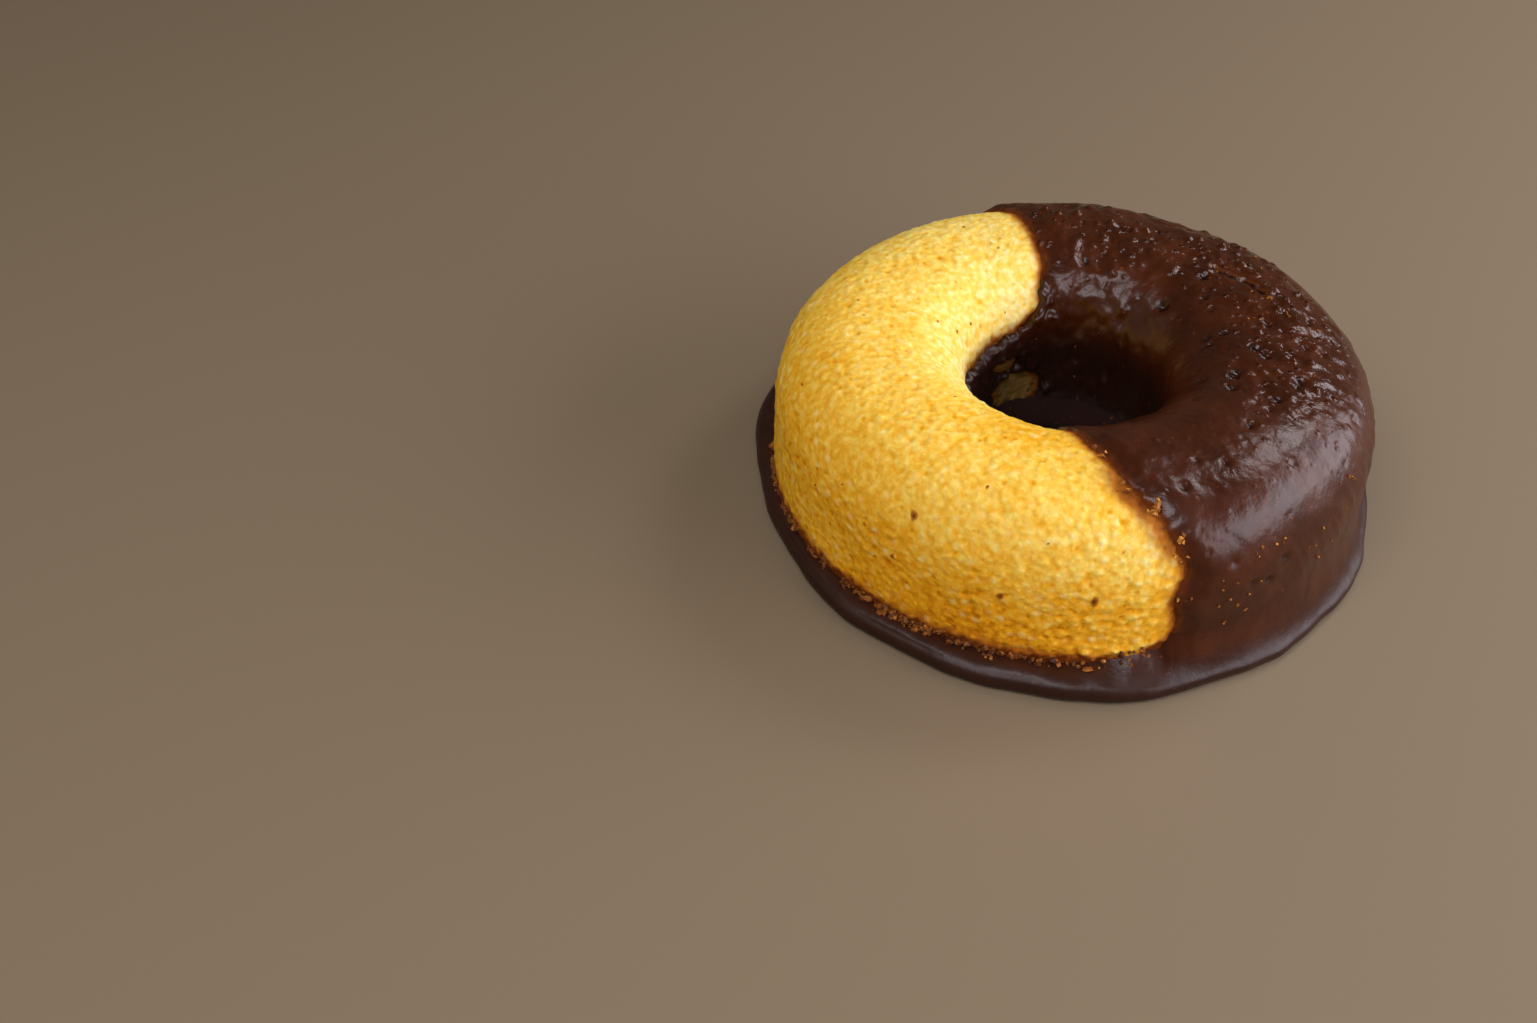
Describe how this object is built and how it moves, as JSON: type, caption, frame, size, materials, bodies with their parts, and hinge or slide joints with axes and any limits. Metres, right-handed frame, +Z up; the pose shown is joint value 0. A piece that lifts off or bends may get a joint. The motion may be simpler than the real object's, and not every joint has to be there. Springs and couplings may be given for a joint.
{
  "type": "half-dipped ring doughnut",
  "caption": "Ring doughnut of golden sponge cake, one half dipped in dark chocolate, standing on a flat set chocolate foot.",
  "frame": {"origin": "middle of the flat underside, at the centre of its bounding box", "axes": "+Z up along the ring's axis, +X towards the dipped half, -Y towards the viewer"},
  "size_m": [0.0878, 0.087, 0.0275],
  "materials": {
    "sponge": "matte open crumb",
    "dark_chocolate": "satin, set"
  },
  "bodies": {
    "root": {"cake": "sponge", "chocolate": "dark_chocolate"}
  },
  "joints": []
}
